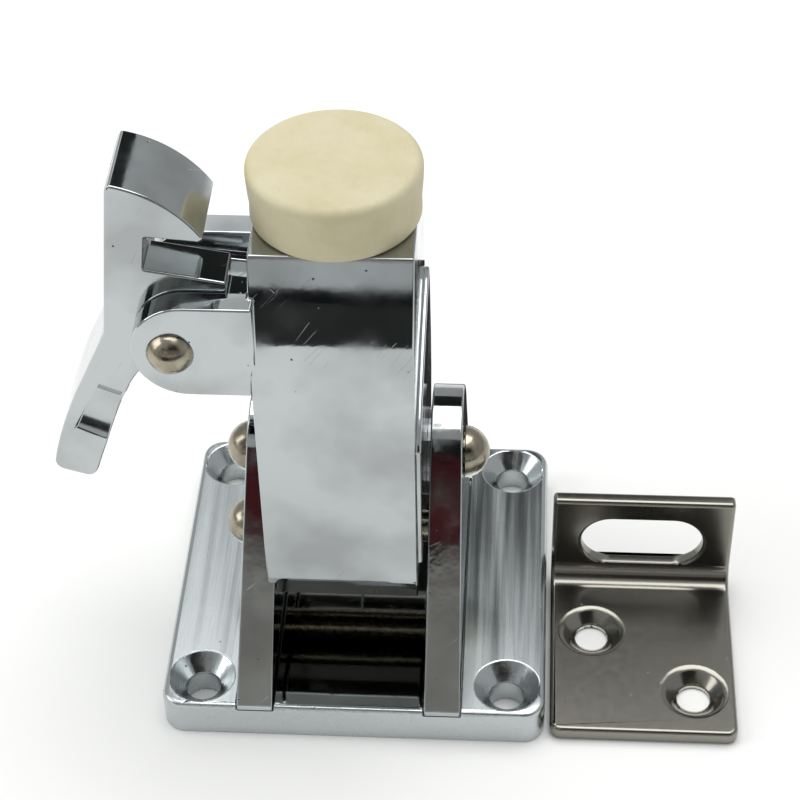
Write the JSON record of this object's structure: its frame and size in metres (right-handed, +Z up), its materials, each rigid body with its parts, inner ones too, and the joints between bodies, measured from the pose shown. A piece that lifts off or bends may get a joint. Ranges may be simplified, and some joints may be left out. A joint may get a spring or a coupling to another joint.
{
  "type": "door holder latch",
  "caption": "Cast door holder with a hinged arm, rubber buffer and sprung hook lever on a screw-down base, with a slotted angle strike plate.",
  "frame": {"origin": "centre of the base plate's underside", "axes": "+Z up from the underside through the buffer, +Y from the open front of the yoke to its back, +X to the strike plate"},
  "size_m": [0.1051, 0.06, 0.0946],
  "materials": {
    "plated_base": "bright plate over lengthwise brushing",
    "chrome_plate": "polished bright plate with small casting pits",
    "nickel_rivet": "dull nickel",
    "stainless_strike": "barrel-polished stainless sheet",
    "plain_steel": "plain zinc-plated steel",
    "buffer_rubber": "matt moulded rubber"
  },
  "bodies": {
    "base": {"base_plate": "plated_base", "cheek_left": "chrome_plate", "cheek_right": "chrome_plate", "cheek_left_screw_front": "plain_steel", "cheek_left_screw_rear": "plain_steel", "cheek_right_screw_front": "plain_steel", "cheek_right_screw_rear": "plain_steel", "arm_pivot_rivet": "nickel_rivet", "arm_stop_rivet": "nickel_rivet", "friction_washer": "plain_steel", "strike_plate": "stainless_strike"},
    "arm": {"arm": "chrome_plate", "pad_stud": "plain_steel", "buffer_pad": "buffer_rubber", "lever_rivet": "nickel_rivet"},
    "lever": {"hook_lever": "chrome_plate", "lever_spring": "plain_steel"}
  },
  "joints": [
    {"name": "arm_fold", "type": "hinge", "parent": "base", "child": "arm", "pos_m": [0, 0.0045, 0.0297], "axis": [-1, 0, 0], "range_deg": [0, 90]},
    {"name": "lever_swing", "type": "hinge", "parent": "arm", "child": "lever", "pos_m": [-0.02465, 0, 0.0684], "axis": [0, -1, 0], "range_deg": [0, 25], "stiffness_Nm_per_rad": 0.08, "springref_deg": -20.05}
  ]
}
